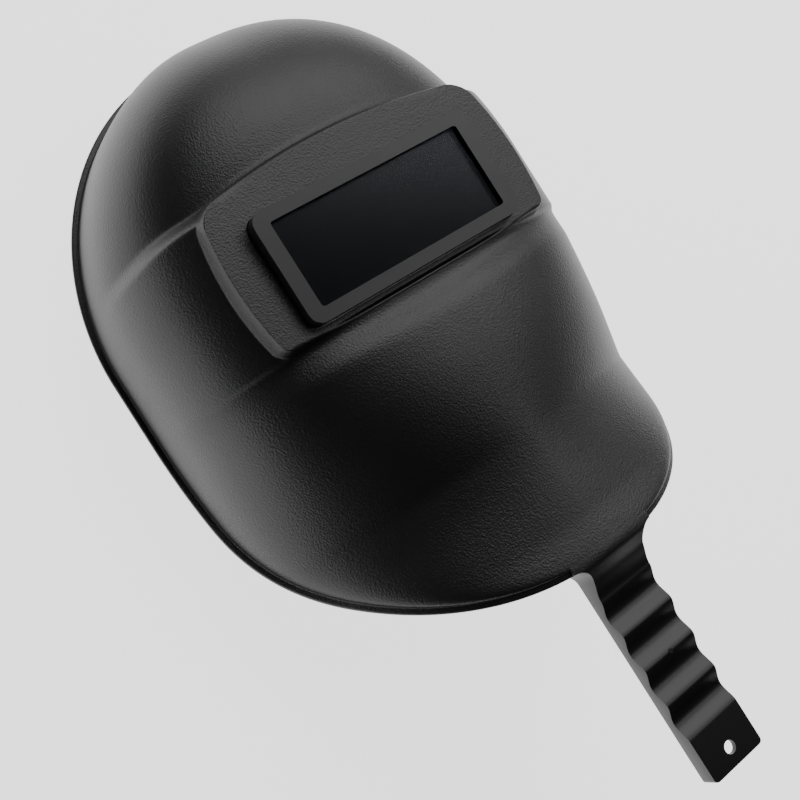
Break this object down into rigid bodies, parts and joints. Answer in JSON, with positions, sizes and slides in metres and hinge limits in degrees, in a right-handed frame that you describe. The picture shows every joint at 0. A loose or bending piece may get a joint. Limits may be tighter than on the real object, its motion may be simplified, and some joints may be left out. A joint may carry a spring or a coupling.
{
  "type": "hand-held welding shield",
  "caption": "Hand-held welding shield: a moulded face shell with a window of replaceable dark glass, held in front of the face by its grooved handle.",
  "frame": {"origin": "centre of the overall box, on the flat back of the rim, which lies on the surface", "axes": "+X from the wearer's right to left across the shell, +Y from the handle's end to the crown, +Z from the face out through the window"},
  "size_m": [0.226, 0.408, 0.1103],
  "materials": {
    "shell_plastic": "black polypropylene with a fine moulded leather grain",
    "frame_plastic": "black nylon, smooth satin",
    "clear_cover": "clear polished cover glass",
    "dark_filter": "very dark green welding filter, polished",
    "cushion_rubber": "matt black rubber",
    "button_plastic": "black nylon, satin",
    "zinc_steel": "zinc-plated steel"
  },
  "bodies": {
    "shield": {"face_shell": "shell_plastic", "window_frame": "frame_plastic", "cover_glass": "clear_cover", "filter_glass": "dark_filter", "inner_glass": "clear_cover", "glass_cushion": "cushion_rubber", "glass_retainer": "frame_plastic", "frame_screw_lower_left": "zinc_steel", "frame_screw_lower_right": "zinc_steel", "frame_screw_upper_left": "zinc_steel", "frame_screw_upper_right": "zinc_steel", "button_screw_left": "zinc_steel", "button_screw_right": "zinc_steel", "button_washer_left": "zinc_steel", "button_washer_right": "zinc_steel"},
    "turn_button_left": {"turn_button_left": "button_plastic"},
    "turn_button_right": {"turn_button_right": "button_plastic"}
  },
  "joints": [
    {"name": "turn_button_left_pivot", "type": "hinge", "parent": "shield", "child": "turn_button_left", "pos_m": [-0.0636, 0.075, 0.0838], "axis": [0, 0, 1], "continuous": true},
    {"name": "turn_button_right_pivot", "type": "hinge", "parent": "shield", "child": "turn_button_right", "pos_m": [0.0636, 0.075, 0.0838], "axis": [0, 0, 1], "continuous": true}
  ]
}
